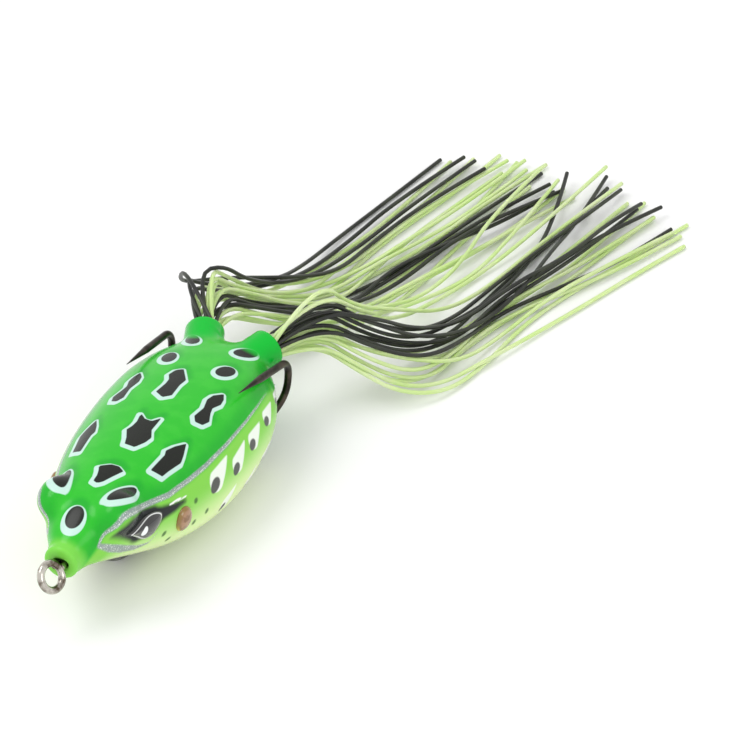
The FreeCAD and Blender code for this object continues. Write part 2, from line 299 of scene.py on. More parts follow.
# for the four strands of a tress: how far each lies to the side of the guide soon after the
# mouth, half way along and at its end, and how much longer than the guide it is
LEFT_FANS = (
    ((3.0, 6.0, 1.0, 4.5), (-7.0, -4.0, -6.0, -2.0), (-8.5, -3.0, -1.5, 1.0), (2.0, 4.0, 0.5, -1.5)),
    ((2.0, 5.0, 0.0, 3.5), (-3.5, -1.0, -4.0, 1.0), (-8.5, -6.0, -2.0, 3.0), (3.0, 5.0, 1.5, 0.0)),
    ((1.5, 4.5, 3.0, 6.0), (-1.0, 2.5, 1.0, 4.0), (-7.5, 0.5, 4.0, 8.5), (2.0, -1.0, 1.0, -2.0)),
    ((5.0, 7.0, 3.5, 6.0), (5.0, 7.5, 3.0, 6.5), (-8.0, -1.5, 2.0, 8.0), (-2.0, 2.5, 0.5, -3.0)),
    ((-1.0, 1.5, 4.0, 2.5), (-2.0, 1.5, 0.0, 3.5), (-7.0, 2.5, -2.5, 7.0), (-1.0, 4.0, -4.0, 1.5)),
)
RIGHT_FANS = (
    ((2.0, 4.0, 0.5, 3.0), (-2.0, 1.0, 3.0, 0.5), (-7.5, -2.0, 3.0, 6.0), (4.0, -1.0, 2.0, 0.5)),
    ((1.0, 3.5, -1.0, 2.5), (0.0, 1.5, -0.5, 2.0), (5.0, 7.5, 1.5, 8.5), (0.0, -2.0, 2.5, -1.0)),
    ((-1.0, 1.5, 3.5, -2.0), (-1.5, 2.0, 0.5, 3.0), (-3.0, 5.0, 0.5, 3.5), (2.5, 4.5, -2.0, 1.0)),
    ((0.5, -2.5, 3.0, 1.5), (-2.0, 0.0, 2.0, 3.5), (-4.0, 4.0, -1.0, 7.0), (-3.0, 2.5, 0.0, 3.5)),
    ((4.0, 1.0, 5.0, -2.5), (0.0, 0.5, 3.5, 5.0), (3.0, -0.5, 5.0, 8.5), (1.0, -1.0, 1.5, -0.5)),
)
FAN_SHARES = (0.3, 0.62, 1.0)
FREE_FROM, FREE_OVER = 0.04, 0.24  # where a strand starts to leave its tress, and how fast
WANDER = 1.5  # how far a strand sways about its own lie
SWAYS = 1.6  # how often it sways between its ends
ROW_PHASE, COLUMN_PHASE = 1.9, 2.4  # so that no two strands sway together
SLUMP = 3.0  # how far the top row sinks on to the rows below it
SLUMP_END = 0.7
REACH = 9.0  # the furthest a strand lies to the side of its place in the tress
STRAND = 0.7
LAID_CLEAR = 0.76  # between the centrelines of strands that lie on one another
LAID_ENOUGH = 0.02
MOUTH_GAP = 0.15
BEND_SPAN = 8  # past the mouth, over which a strand takes up its leg's turn
STRAND_SIDES = 8
STRAND_RINGS = 66
FLOOR_LEVEL = 0.38  # of the centreline of a strand that lies on the floor


# ---- shape of the body ---------------------------------------------------------------------
def profile(y):
    """Half width, top, bottom and widest height at y, smooth through the stations."""
    ys = SHELL_STATIONS[:, 0]
    y = np.clip(y, ys[0], ys[-1])
    low = np.clip(np.searchsorted(ys, y) - 1, 0, len(ys) - 2)
    step = ys[low + 1] - ys[low]
    t = (y - ys[low]) / step
    values = []
    for column in range(1, 5):
        v = SHELL_STATIONS[:, column]
        slope = np.gradient(v, ys)
        values.append(
            (2 * t**3 - 3 * t**2 + 1) * v[low]
            + (t**3 - 2 * t**2 + t) * step * slope[low]
            + (3 * t**2 - 2 * t**3) * v[low + 1]
            + (t**3 - t**2) * step * slope[low + 1]
        )
    return values


def body_level(p):
    """Below zero inside the body, above it outside; not yet a true distance."""
    half_width, top, bottom, widest = profile(p[:, 1])
    rise = p[:, 2] - widest
    reach = np.where(rise > 0, top - widest, widest - bottom)
    across = (np.abs(p[:, 0]) / half_width) ** SHELL_EXPONENT
    upward = (np.abs(rise) / reach) ** SHELL_EXPONENT
    size = (across + upward) ** (1 / SHELL_EXPONENT)
    level = (size - 1) * np.minimum(half_width, reach)
    past_tail = p[:, 1] - SHELL_STATIONS[-1, 0]
    past_nose = SHELL_STATIONS[0, 0] - p[:, 1]
    return np.maximum(level, np.maximum(past_tail, past_nose))


def gradient(level, p, step=0.05):
    """Slope of level at each point, from a small step each way."""
    parts = []
    for axis in range(3):
        shift = np.zeros(3)
        shift[axis] = step
        parts.append((level(p + shift) - level(p - shift)) / (2 * step))
    return np.stack(parts, axis=1)


def body_distance(p):
    """Nearly the distance to the body's outside, without brows, collar and sockets."""
    slope = np.linalg.norm(gradient(body_level, p), axis=1)
    return body_level(p) / np.maximum(slope, 0.3)


def rod_distance(p, end, direction, length, radius, rounding):
    """Distance to a rod that ends at end and reaches back along direction by length."""
    along = (p - end) @ direction
    away = np.linalg.norm(p - end - along[:, None] * direction, axis=1)
    side = away - radius + rounding
    cap = np.maximum(along, -length - along) + rounding
    outside = np.hypot(np.maximum(side, 0), np.maximum(cap, 0))
    return outside + np.minimum(np.maximum(side, cap), 0) - rounding


def ball_distance(p, centre, radii):
    """Nearly the distance to an ellipsoid."""
    q = (p - centre) / radii
    size = np.linalg.norm(q, axis=1)
    return size * (size - 1) / np.maximum(np.linalg.norm(q / radii, axis=1), 1e-6)


def join(a, b, width):
    """Smooth union of two distances."""
    share = np.clip(0.5 + 0.5 * (b - a) / width, 0, 1)
    return b * (1 - share) + a * share - width * share * (1 - share)


def carve(a, b, width=EDGE_ROUNDING):
    """Distance a with shape b taken out, its edge rounded."""
    return -join(-a, b, width)


def socket_direction(side):
    """The way a leg socket points: out of the body, splayed and a little upward."""
    flat = math.cos(SOCKET_RISE)
    return np.array((
        side * math.sin(SOCKET_SPLAY) * flat,
        math.cos(SOCKET_SPLAY) * flat,
        math.sin(SOCKET_RISE),
    ))


def mirrored(point, side):
    return np.array(point, float) * (side, 1, 1)


def socket_distance(p, side):
    return rod_distance(
        p, mirrored(SOCKET_MOUTH, side), socket_direction(side),
        SOCKET_LENGTH, SOCKET_RADIUS, SOCKET_ROUNDING,
    )


def outside_distance(p):
    """Distance to the outside of the shell, with its openings filled."""
    distance = body_distance(p)
    for side in (1, -1):
        brow = ball_distance(p, mirrored(BROW_CENTRE, side), np.array(BROW_RADII))
        distance = join(distance, brow, BROW_BLEND)
    collar = rod_distance(
        p, np.array((0, COLLAR_FRONT_Y, COLLAR_Z)), np.array((0, -1, 0)),
        COLLAR_REAR_Y - COLLAR_FRONT_Y, COLLAR_RADIUS, COLLAR_ROUNDING,
    )
    distance = join(distance, collar, COLLAR_BLEND)
    for side in (1, -1):
        distance = join(distance, socket_distance(p, side), SOCKET_BLEND)
    return distance


def slot_distance(p):
    """Distance to the belly slot, which widens toward the rear."""
    flare = np.clip((p[:, 1] - SLOT_FLARE_Y) / (SLOT_REAR_Y - SLOT_FLARE_Y), 0, 1)
    half_width = SLOT_HALF_WIDTH + flare * (SLOT_REAR_HALF_WIDTH - SLOT_HALF_WIDTH)
    distance = np.maximum(np.abs(p[:, 0]) - half_width, p[:, 2] - SLOT_TOP_Z)
    return np.maximum(distance, np.maximum(SLOT_FRONT_Y - p[:, 1], p[:, 1] - SLOT_REAR_Y))


def shell_distance(p):
    """Distance to the hollow shell with its bores and belly slot."""
    distance = outside_distance(p)
    distance = carve(distance, body_distance(p) + WALL)
    for side in (1, -1):
        direction = socket_direction(side)
        bore = rod_distance(
            p, mirrored(SOCKET_MOUTH, side) + direction, direction,
            SOCKET_BORE_LENGTH + 1, SOCKET_BORE_RADIUS, 0.0,
        )
        distance = carve(distance, bore)
    flattened = (p - (0, 0, COLLAR_Z)) * (1, 1, NOSE_BORE_RADIUS / NOSE_BORE_HALF_HEIGHT)
    nose = rod_distance(
        flattened, np.array((0, COLLAR_FRONT_Y - 1, 0)), np.array((0, -1, 0)),
        NOSE_BORE_REAR_Y - COLLAR_FRONT_Y + 1, NOSE_BORE_RADIUS, 0.0,
    )
    distance = carve(distance, nose)
    return carve(distance, slot_distance(p))


def pulled_onto(distance, p, rounds=3):
    """Points moved onto the surface where distance is zero."""
    for _ in range(rounds):
        slope = gradient(distance, p, 0.03)
        steepness = np.maximum((slope**2).sum(axis=1), 0.09)
        p = p - (distance(p) / steepness)[:, None] * slope
    return p


# ---- the body's skin laid flat -------------------------------------------------------------
GIRTH_STEPS = 181
GIRTH_Y = np.linspace(SHELL_STATIONS[0, 0], SHELL_STATIONS[-1, 0], 160)


def section_point(y, angle):
    """x and z on the section at y; angle runs from 0 at the crown to pi at the belly."""
    half_width, top, bottom, widest = profile(y)
    upright = np.cos(angle)
    reach = np.where(upright > 0, top - widest, widest - bottom)
    x = half_width * np.abs(np.sin(angle)) ** (2 / SHELL_EXPONENT)
    z = widest + reach * np.sign(upright) * np.abs(upright) ** (2 / SHELL_EXPONENT)
    return x, z


def girth_table():
    """Length round each section from the crown, at even steps of angle."""
    angles = np.linspace(0, math.pi, GIRTH_STEPS)
    x, z = section_point(GIRTH_Y[:, None], angles[None, :])
    steps = np.hypot(np.diff(x, axis=1), np.diff(z, axis=1))
    return np.concatenate([np.zeros((len(GIRTH_Y), 1)), np.cumsum(steps, axis=1)], axis=1)


GIRTH = girth_table()


def girth_row(y):
    """The girth table's row at each y."""
    place = np.clip(
        (y - GIRTH_Y[0]) / (GIRTH_Y[1] - GIRTH_Y[0]), 0, len(GIRTH_Y) - 1.001
    )
    low = place.astype(int)
    share = (place - low)[:, None]
    return GIRTH[low] * (1 - share) + GIRTH[low + 1] * share


def flat_place(p):
    """How far round from the crown, signed by side, each point of the skin lies."""
    half_width, top, bottom, widest = profile(p[:, 1])
    rise = p[:, 2] - widest
    reach = np.where(rise > 0, top - widest, widest - bottom)
    across = (np.abs(p[:, 0]) / half_width) ** (SHELL_EXPONENT / 2)
    upward = np.sign(rise) * (np.abs(rise) / reach) ** (SHELL_EXPONENT / 2)
    angle = np.arctan2(across, upward)
    row = girth_row(p[:, 1])
    place = np.clip(angle / math.pi * (GIRTH_STEPS - 1), 0, GIRTH_STEPS - 1.001)
    low = place.astype(int)
    share = place - low
    index = np.arange(len(p))
    length = row[index, low] * (1 - share) + row[index, low + 1] * share
    return np.where(p[:, 0] < 0, -length, length)


def skin_point(round_mm, y):
    """The point on the body that lies round_mm from the crown at y."""
    rows = girth_row(y)
    angles = np.linspace(0, math.pi, GIRTH_STEPS)
    angle = np.array([np.interp(abs(r), row, angles) for r, row in zip(round_mm, rows)])
    x, z = section_point(y, angle)
    return np.stack([np.where(round_mm < 0, -x, x), y, z], axis=1)


# ---- paint: places on the flattened skin, round from the crown and along the body ----------
SNOUT_OVAL = (0.0, -24.3, 1.4, 1.7, 0.0)
# u, v, half width, half length, turn in degrees from the body's length
PAIRED_OVALS = (
    (4.7, -18.0, 0.95, 3.2, 25.0),
    (4.9, 17.8, 1.25, 1.9, 20.0),
    (4.5, 25.4, 1.2, 1.9, 35.0),
)
CENTRE_SHAPES = (
    ((-1.0, -14.1), (0.6, -13.1), (1.9, -13.0), (2.9, -13.6), (1.8, -15.8), (1.2, -17.0),
     (0.5, -17.7), (-0.3, -17.4), (-0.3, -16.1), (-0.6, -15.0)),
    ((-1.1, 0.5), (0.1, -0.7), (1.3, -0.8), (2.3, 0.7), (2.3, -2.8), (3.1, -4.5),
     (2.8, -6.0), (1.9, -7.9), (0.2, -7.8), (-0.3, -6.2), (-1.2, -4.3), (-0.8, -3.1),
     (-0.7, -1.8)),
    ((-0.8, 14.7), (1.0, 11.8), (0.8, 10.0), (1.0, 6.8), (-0.1, 5.7), (-1.7, 6.8),
     (-1.4, 9.6), (-1.5, 10.9), (-2.2, 12.3), (-1.8, 13.9)),
)
PAIRED_SHAPES = (
    ((7.9, -1.8), (8.7, -4.1), (9.1, -5.6), (8.4, -8.5), (8.1, -10.1), (6.1, -10.6),
     (6.3, -7.9), (6.4, -6.4), (6.1, -5.5), (6.8, -3.7)),
    ((7.3, 12.4), (7.9, 11.2), (8.1, 9.8), (7.5, 8.0), (7.8, 6.7), (8.5, 5.0),
     (8.0, 3.5), (6.8, 3.2), (6.1, 4.3), (6.4, 7.0), (5.9, 9.2), (6.2, 10.8)),
)
RIM_SHIFT = 0.42
RIM_WIDTH = 0.55
SHADE_SHIFT = -0.9
# u, v, half width
STRIPE = (
    (5.7, -25.1, 0.22), (5.2, -23.8, 0.3), (5.6, -22.0, 0.36), (6.6, -20.0, 0.4),
    (9.0, -15.0, 0.42), (10.7, -11.3, 0.42), (11.7, -6.7, 0.38), (12.4, -2.0, 0.36),
    (12.8, 4.0, 0.3), (12.7, 11.0, 0.22), (12.4, 15.0, 0.16), (11.8, 20.0, 0.06),
)
EYE_LINE = (
    (5.7, -25.1, 0.22), (8.5, -23.4, 0.45), (11.3, -21.3, 0.5), (13.7, -18.9, 0.4),
    (14.8, -16.8, 0.16), (14.0, -14.9, 0.05),
)
EYE_SMEAR = (
    (6.6, -22.9, 0.3), (8.0, -21.0, 1.0), (10.2, -18.2, 2.1), (11.4, -15.8, 1.9),
    (12.0, -13.6, 0.9), (12.9, -11.4, 0.6), (13.6, -9.0, 0.2),
)
# painted highlights: white streaks behind the eye where the clear coat mirrors the lights
EYE_PAINTED_HIGHLIGHTS = ((11.9, -12.0, 0.12), (12.5, -10.2, 0.22), (13.2, -8.4, 0.1))
# tip u, tip v, round end u, round end v, end radius, reach of the dark oval past the end
TEARS = (
    (14.0, 2.8, 15.6, -1.3, 1.85, 1.5), (14.6, 8.0, 16.5, 4.5, 1.5, 1.5),
    (14.4, 13.6, 15.8, 10.2, 1.45, 1.4), (13.4, 19.4, 14.8, 16.2, 1.3, 1.4),
    (12.2, 24.6, 13.5, 22.3, 1.0, 1.1), (19.5, 3.2, 21.1, 0.3, 1.1, 1.2),
    (20.4, 10.0, 22.4, 7.6, 1.1, 1.2), (19.2, 16.2, 20.8, 13.2, 1.0, 1.1),
)
DOTS = ((15.2, -6.9), (18.8, -4.7), (18.7, -7.6), (15.6, -13.9), (18.0, -12.6))
DOT_RADIUS = 0.45
EYE_OUTLINE = (
    (8.4, -20.9), (8.7, -19.6), (9.2, -18.2), (10.0, -15.8), (10.8, -14.5), (11.6, -13.9),
    (12.4, -14.3), (13.0, -15.3), (13.3, -16.4), (12.8, -17.8), (11.9, -18.8), (10.8, -19.6),
    (9.6, -20.4),
)
EYE_BULGE = 1.05
EYE_SLANT = ((-21, -14), (9.3, 12.6))  # v and u of the two ends of the eye's long axis
PUPIL = (10.75, -18.2, 0.62)
EAR_CENTRE = (16.1, -9.95)
EAR_HALF = (1.95, 1.6)
EAR_BULGE = 0.85
GRID_PITCH = 0.36
SHELL_BOX = ((-14.6, -30.4, -0.8), (14.6, 35.8, 21.0))
FLOOR_CLEARANCE = 0.04


# ---- distances on the flattened skin -------------------------------------------------------
def oval_distance(q, oval):
    """Nearly the distance to a turned oval, below zero inside it."""
    u, v, half_width, half_length, turn = oval
    angle = math.radians(turn)
    du, dv = q[:, 0] - u, q[:, 1] - v
    along = dv * math.cos(angle) + du * math.sin(angle)
    across = du * math.cos(angle) - dv * math.sin(angle)
    size = np.hypot(across / half_width, along / half_length)
    slope = np.hypot(across / half_width**2, along / half_length**2)
    return size * (size - 1) / np.maximum(slope, 1e-6)


def outline_distance(q, outline):
    """Distance to a closed outline, below zero inside it."""
    corners = np.array(outline, float)
    nearest = np.full(len(q), 1e9)
    inside = np.zeros(len(q), bool)
    for a, b in zip(corners, np.roll(corners, -1, axis=0)):
        run = b - a
        share = np.clip(((q - a) @ run) / (run @ run), 0, 1)
        nearest = np.minimum(nearest, np.linalg.norm(q - a - share[:, None] * run, axis=1))
        straddles = (a[1] > q[:, 1]) != (b[1] > q[:, 1])
        with np.errstate(divide="ignore", invalid="ignore"):
            crossing = a[0] + (q[:, 1] - a[1]) * run[0] / run[1]
        inside ^= straddles & (q[:, 0] < crossing)
    return np.where(inside, -nearest, nearest)


def band_distance(q, line):
    """Distance to a line whose half width changes from point to point."""
    nearest = np.full(len(q), 1e9)
    for a, b in zip(line, line[1:]):
        start, run = np.array(a[:2]), np.array(b[:2]) - np.array(a[:2])
        share = np.clip(((q - start) @ run) / (run @ run), 0, 1)
        away = np.linalg.norm(q - start - share[:, None] * run, axis=1)
        nearest = np.minimum(nearest, away - a[2] - share * (b[2] - a[2]))
    return nearest


def least(distances):
    return np.minimum.reduce(list(distances))


def spot_distance(q, shift=0.0):
    """Distance to the dark spots on the back, slid along the body by shift."""
    q = q + (0, shift)
    folded = np.stack([np.abs(q[:, 0]), q[:, 1]], axis=1)
    found = [oval_distance(q, SNOUT_OVAL)]
    found += [oval_distance(folded, oval) for oval in PAIRED_OVALS]
    found += [outline_distance(q, shape) for shape in CENTRE_SHAPES]
    found += [outline_distance(folded, shape) for shape in PAIRED_SHAPES]
    return least(found)


def tear_bands():
    """The pale tears on the flank and the dark ovals at their round ends."""
    bands, ovals = [], []
    for tip_u, tip_v, end_u, end_v, radius, reach in TEARS:
        bands.append(((tip_u, tip_v, 0.1), (end_u, end_v, radius)))
        run = math.hypot(end_u - tip_u, end_v - tip_v)
        along = ((end_u - tip_u) / run, (end_v - tip_v) / run)
        turn = math.degrees(math.atan2(along[0], along[1]))
        ovals.append((
            end_u + along[0] * reach * 0.8, end_v + along[1] * reach * 0.5,
            0.55 * radius, 0.72 * radius, turn,
        ))
    return bands, ovals


def paint_levels(p):
    """Every paint mask as a distance in millimetres, below zero where the paint lies."""
    u = flat_place(p)
    v = p[:, 1]
    q = np.stack([u, v], axis=1)
    folded = np.stack([np.abs(u), v], axis=1)
    bands, ovals = tear_bands()
    collar = np.maximum(
        np.hypot(p[:, 0], p[:, 2] - COLLAR_Z) - COLLAR_RADIUS, p[:, 1] - COLLAR_REAR_Y
    )
    return {
        "spot": spot_distance(q),
        "rim": spot_distance(q, RIM_SHIFT) - RIM_WIDTH,
        "shade": spot_distance(q, SHADE_SHIFT) - RIM_WIDTH,
        "stripe": least([band_distance(folded, STRIPE), band_distance(folded, EYE_LINE)]),
        "smear": band_distance(folded, EYE_SMEAR),
        "painted_highlight": band_distance(folded, EYE_PAINTED_HIGHLIGHTS),
        "tear": least(band_distance(folded, band) for band in bands),
        "oval": least(oval_distance(folded, oval) for oval in ovals),
        "dot": least(np.hypot(folded[:, 0] - a, v - b) - DOT_RADIUS for a, b in DOTS),
        "flank": band_distance(folded, [(a, b, 0) for a, b, _ in STRIPE]),
        "side": np.abs(u),
        "socket": least(socket_distance(p, side) for side in (1, -1)) - 0.25,
        "collar": collar - 0.3,
        "hollow": outside_distance(p) + 0.35,
    }


# ---- meshes --------------------------------------------------------------------------------
def net_surface(distance, box, pitch):
    """Closed mesh of the zero surface: one point in each grid cell that it crosses."""
    low, high = (np.array(corner) for corner in box)
    counts = np.ceil((high - low) / pitch).astype(int) + 1
    axes = [low[i] + pitch * np.arange(counts[i]) for i in range(3)]
    grid = np.stack(np.meshgrid(*axes, indexing="ij"), axis=-1).reshape(-1, 3)
    value = distance(grid).reshape(counts)
    inside = value < 0
    cells = tuple(counts - 1)
    total = np.zeros(cells + (3,))
    number = np.zeros(cells)
    for axis in range(3):
        first = [slice(None)] * 3
        second = [slice(None)] * 3
        first[axis] = slice(0, -1)
        second[axis] = slice(1, None)
        a, b = value[tuple(first)], value[tuple(second)]
        crosses = (a < 0) != (b < 0)
        share = np.where(crosses, a / np.where(crosses, a - b, 1), 0)
        others = [i for i in range(3) if i != axis]
        for shift_1 in (0, 1):
            for shift_2 in (0, 1):
                pick = [slice(None)] * 3
                pick[others[0]] = slice(shift_1, shift_1 + cells[others[0]])
                pick[others[1]] = slice(shift_2, shift_2 + cells[others[1]])
                hit = crosses[tuple(pick)]
                place = np.zeros(hit.shape + (3,))
                place[..., axis] = share[tuple(pick)]
                place[..., others[0]] = shift_1
                place[..., others[1]] = shift_2
                total += place * hit[..., None]
                number += hit
    used = number > 0
    index = np.full(cells, -1)
    index[used] = np.arange(used.sum())
    corner = np.stack(np.nonzero(used), axis=1)
    points = low + pitch * (corner + total[used] / number[used][:, None])
    quads = []
    for axis in range(3):
        b, c = (axis + 1) % 3, (axis + 2) % 3
        first = [slice(1, -1)] * 3
        second = [slice(1, -1)] * 3
        first[axis] = slice(0, -1)
        second[axis] = slice(1, None)
        one, two = inside[tuple(first)], inside[tuple(second)]
        for entering in (True, False):
            edge = np.stack(np.nonzero((one == entering) & (two != entering)), axis=1)
            edge[:, b] += 1
            edge[:, c] += 1
            ring = []
            for back_b, back_c in ((1, 1), (0, 1), (0, 0), (1, 0)):
                cell = edge.copy()
                cell[:, b] -= back_b
                cell[:, c] -= back_c
                ring.append(index[cell[:, 0], cell[:, 1], cell[:, 2]])
            ring = np.stack(ring, axis=1)
            quads.append(ring if entering else ring[:, ::-1])
    return points, np.concatenate(quads)


def mesh_object(name, points_mm, faces, material):
    """A shaded smooth mesh object from points in millimetres."""
    mesh = bpy.data.meshes.new(name)
    places = (np.asarray(points_mm) * MM).tolist()
    mesh.from_pydata(places, [], [[int(i) for i in face] for face in faces])
    mesh.validate()
    mesh.polygons.foreach_set("use_smooth", [True] * len(mesh.polygons))
    mesh.materials.append(material)
    piece = bpy.data.objects.new(name, mesh)
    bpy.context.scene.collection.objects.link(piece)
    return piece


def add_levels(piece, levels):
    """Stores each set of values on the piece's points, under its name."""
    for name, values in levels.items():
        attribute = piece.data.attributes.new(name, "FLOAT", "POINT")
        attribute.data.foreach_set("value", values.astype(np.float32))


def dome_on_skin(outline, bulge, side, rings=22, around=96, sink=0.5):
    """A closed dome on the skin: its points, faces, flat places and shares of the way out."""
    corners = np.array(outline, float)
    count = len(corners)
    t = np.linspace(0, count, around, endpoint=False)
    low = t.astype(int)
    f = (t - low)[:, None]
    a, b, c, d = (corners[(low + k) % count] for k in (-1, 0, 1, 2))
    rim = 0.5 * (
        2 * b + (c - a) * f + (2 * a - 5 * b + 4 * c - d) * f**2
        + (3 * b - a - 3 * c + d) * f**3
    )
    centre = rim.mean(axis=0)
    shares = np.sin(np.linspace(0, math.pi / 2, rings + 1))[1:]
    flat = np.concatenate([centre[None]] + [centre + s * (rim - centre) for s in shares])
    share = np.concatenate([[0.0]] + [np.full(around, s) for s in shares])
    base = skin_point(flat[:, 0], flat[:, 1])
    base[:, 0] *= side
    base = pulled_onto(outside_distance, base)
    normal = gradient(outside_distance, base)
    normal /= np.linalg.norm(normal, axis=1)[:, None]
    top = base + normal * (bulge * np.sqrt(np.maximum(1 - share**2, 0)))[:, None]
    under = base[-around:] - normal[-around:] * sink
    foot = base[0] - normal[0] * sink
    points = np.concatenate([top, under, foot[None]])
    step = np.arange(around)
    after = (step + 1) % around
    faces = [(0, 1 + i, 1 + j) for i, j in zip(step, after)]
    for ring in range(rings):
        inner = 1 + ring * around
        outer = inner + around
        faces += [(inner + i, outer + i, outer + j, inner + j) for i, j in zip(step, after)]
    last = 1 + rings * around
    faces += [(last + i, last + around, last + j) for i, j in zip(step, after)]
    share = np.concatenate([share, np.full(around + 1, 1.2)])
    flat = np.concatenate([flat, flat[-around:], centre[None]])
    return points, faces, flat, share


def outward(piece):
    """Turns the faces of a closed mesh outward."""
    work = bmesh.new()
    work.from_mesh(piece.data)
    bmesh.ops.recalc_face_normals(work, faces=work.faces)
    work.to_mesh(piece.data)
    work.free()


# ---- strands -------------------------------------------------------------------------------
def strand_route(side, row, column, guide, fan):
    """Route of one strand: its slot in the mouth, its tress, then its own lie on the floor."""
    direction = socket_direction(side)
    up = np.array((0.0, 0.0, 1.0))
    across = np.cross(direction, up)
    across /= np.linalg.norm(across)
    lift = np.cross(across, direction)
    slot = column - (STRANDS_PER_TRESS - 1) / 2
    top_row = len(LEFT_TRESSES) - 1
    level = row - top_row / 2
    mouth = mirrored(SOCKET_MOUTH, side)
    start = mouth + across * (slot * COLUMN_PITCH) + lift * (level * ROW_PITCH)
    route = [start + direction * MOUTH_GAP]
    stations = [mouth] + [np.array(point, float) for point in guide]
    last = len(stations) - 1
    early, middle, end, longer = (spread[column] for spread in fan)
    for index in range(1, last + 1):
        ahead = stations[min(index + 1, last)]
        sideways = np.cross(ahead - stations[index - 1], up)
        sideways /= np.linalg.norm(sideways)
        share = index / last
        own = slot * (COLUMN_PITCH + (END_PITCH - COLUMN_PITCH) * share)
        loose = np.interp(share, FAN_SHARES, (early, middle, end)) - own
        sway = math.sin(math.tau * SWAYS * share + ROW_PHASE * row + COLUMN_PHASE * column)
        loose += WANDER * sway * math.sin(math.pi * share)
        freedom = np.clip((share - FREE_FROM) / FREE_OVER, 0, 1)
        freedom = freedom * freedom * (3 - 2 * freedom)
        aside = own + np.clip(loose * freedom, -REACH, REACH)
        sunk = SLUMP * row / top_row * math.sin(math.pi * np.clip(share / SLUMP_END, 0, 1))
        route.append(stations[index] + sideways * aside - up * sunk)
    heading = route[-1] - route[-2]
    route[-1] = route[-1] + heading / np.linalg.norm(heading) * longer
    return np.array(route)


def spline_points(route, steps=160):
    """Points on the clamped quadratic spline with these control points."""
    count = len(route)
    knots = np.concatenate([[0, 0], np.arange(count - 1), [count - 2, count - 2]])
    t = np.linspace(0, count - 2 - 1e-9, steps)
    span = np.minimum(t.astype(int), count - 3) + 2
    before, after = t - knots[span], knots[span + 1] - t

    def gap(high, low):
        return knots[span + high] - knots[span + low]

    weights = (
        after**2 / (gap(1, -1) * gap(1, 0)),
        (t - knots[span - 1]) * after / (gap(1, -1) * gap(1, 0))
        + (knots[span + 2] - t) * before / (gap(2, 0) * gap(1, 0)),
        before**2 / (gap(2, 0) * gap(1, 0)),
    )
    return sum(weight[:, None] * route[span - 2 + i] for i, weight in enumerate(weights))


def lay_over(route, laid, clear=LAID_CLEAR, rounds=60):
    """The route raised until its strand lies on the strands already laid, or the floor."""
    route = route.copy()
    route[1:, 2] = np.maximum(route[1:, 2], FLOOR_LEVEL)
    if not laid:
        return route
    others = np.concatenate(laid)
    tree = KDTree(len(others))
    for i, point in enumerate(others):
        tree.insert((point[0], point[1], 0.0), i)
    tree.balance()
    for _ in range(rounds):
        points = spline_points(route)
        push = np.zeros(len(route))
        place = np.linspace(0, len(route) - 1, len(points))
        touching = False
        for i, point in enumerate(points[6:], 6):
            need = 0.0
            for _, j, plan in tree.find_range((point[0], point[1], 0.0), clear):
                top = others[j][2] + math.sqrt(max(clear**2 - plan**2, 0))
                if point[2] < top and point[2] > others[j][2] - clear:
                    need = max(need, top - point[2])
            if need > LAID_ENOUGH:
                touching = True
                near = np.maximum(1.2 - np.abs(np.arange(len(route)) - place[i]), 0)
                push = np.maximum(push, need * near)
        if not touching:
            break
        push[:1] = 0
        route[:, 2] += push * 0.6
    return route


# ---- materials -----------------------------------------------------------------------------
class Sock:
    """A number socket in a material, so that masks can be written as sums and products."""

    def __init__(self, tree, socket):
        self.tree = tree
        self.socket = socket

    def made(self, operation, *values):
        node = self.tree.nodes.new("ShaderNodeMath")
        node.operation = operation
        for slot_in, value in zip(node.inputs, values):
            self.feed(slot_in, value)
        return Sock(self.tree, node.outputs[0])

    def feed(self, slot_in, value):
        if isinstance(value, Sock):
            self.tree.links.new(value.socket, slot_in)
        else:
            slot_in.default_value = value

    def __add__(self, other):
        return self.made("ADD", self, other)

    def __mul__(self, other):
        return self.made("MULTIPLY", self, other)

    def __rsub__(self, other):
        return self.made("SUBTRACT", other, self)

    __radd__ = __add__
    __rmul__ = __mul__

    def at_most(self, other):
        return self.made("MINIMUM", self, other)

    def ramp(self, low, high):
        """0 at low, 1 at high, smooth between."""
        node = self.tree.nodes.new("ShaderNodeMapRange")
        node.interpolation_type = "SMOOTHSTEP"
        self.feed(node.inputs["Value"], self)
        node.inputs["From Min"].default_value = low
        node.inputs["From Max"].default_value = high
        return Sock(self.tree, node.outputs["Result"])

    def below(self, level, soft):
        """1 where the value is below level, 0 above it, with an edge soft wide."""
        return 1 - self.ramp(level - soft / 2, level + soft / 2)


